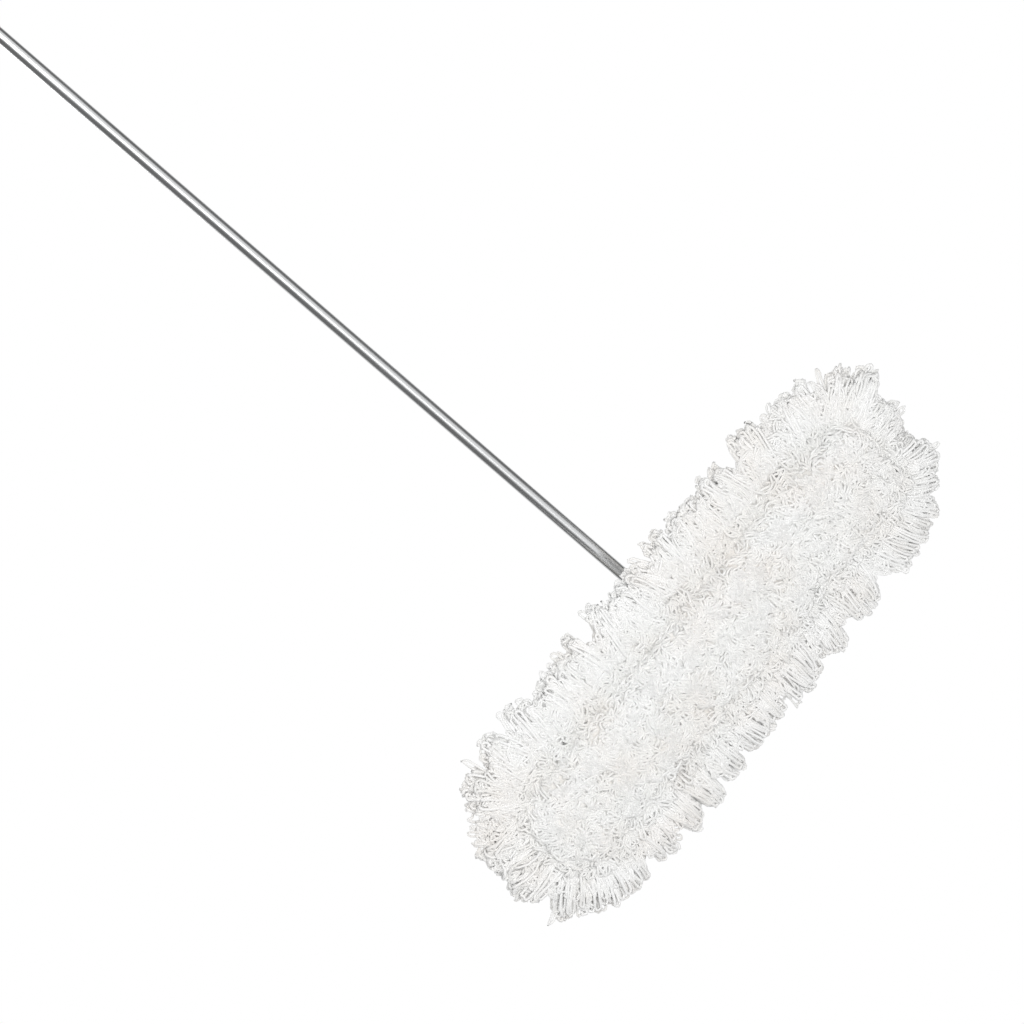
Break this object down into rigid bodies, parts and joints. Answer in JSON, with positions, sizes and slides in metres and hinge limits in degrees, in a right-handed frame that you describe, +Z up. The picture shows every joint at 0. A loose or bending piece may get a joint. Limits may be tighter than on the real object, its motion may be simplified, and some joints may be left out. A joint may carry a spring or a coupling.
{
  "type": "dust mop",
  "caption": "Flat dust mop with a looped cotton head on a wire frame, a clip-on connector that swivels and tilts, and a long tubular steel handle with a hanging hole.",
  "frame": {"origin": "on the floor, in the middle of the head, under the swivel's axis, on the yarn's flat foot", "axes": "+Z up, X along the head, -Y towards the user: the handle lies that way with its cap on the floor"},
  "size_m": [0.7714, 1.4067, 0.0975],
  "materials": {
    "cotton_yarn": "matte",
    "canvas": "matte",
    "binding_tape": "matte",
    "zinc_wire": "satin",
    "black_nylon": "matte",
    "zinc_plated_steel": "satin",
    "spring_steel": "satin",
    "white_nylon": "satin",
    "chromed_tube": "polished"
  },
  "bodies": {
    "head": {"yarn_field": "cotton_yarn", "yarn_fringe": "cotton_yarn", "backing_cloth": "canvas", "edge_tape": "binding_tape", "pocket_left": "canvas", "pocket_right": "canvas", "frame_wire": "zinc_wire", "clip_base": "black_nylon", "clip_plate": "zinc_plated_steel", "clip_screws": "zinc_plated_steel", "latch_spring": "spring_steel", "king_pin": "zinc_plated_steel", "lower_washer": "white_nylon"},
    "latch": {"thumb_latch": "zinc_plated_steel"},
    "swivel": {"upper_washer": "white_nylon", "swivel_yoke": "zinc_plated_steel", "tilt_bolt": "zinc_plated_steel", "tilt_nut": "zinc_plated_steel", "pivot_washers": "white_nylon"},
    "handle": {"handle_socket": "black_nylon", "socket_rivet": "zinc_plated_steel", "handle_tube": "chromed_tube", "end_cap": "black_nylon"}
  },
  "joints": [
    {"name": "latch_pull", "type": "slide", "parent": "head", "child": "latch", "axis": [0, 1, 0], "range_m": [0, 0.0075], "stiffness_N_per_m": 400, "deforming": ["latch_spring"]},
    {"name": "head_swivel", "type": "hinge", "parent": "head", "child": "swivel", "pos_m": [0, 0, 0.06695], "axis": [0, 0, 1], "continuous": true},
    {"name": "handle_tilt", "type": "hinge", "parent": "swivel", "child": "handle", "pos_m": [0, 0, 0.08755], "axis": [-1, 0, 0], "range_deg": [0, 187.31]}
  ]
}
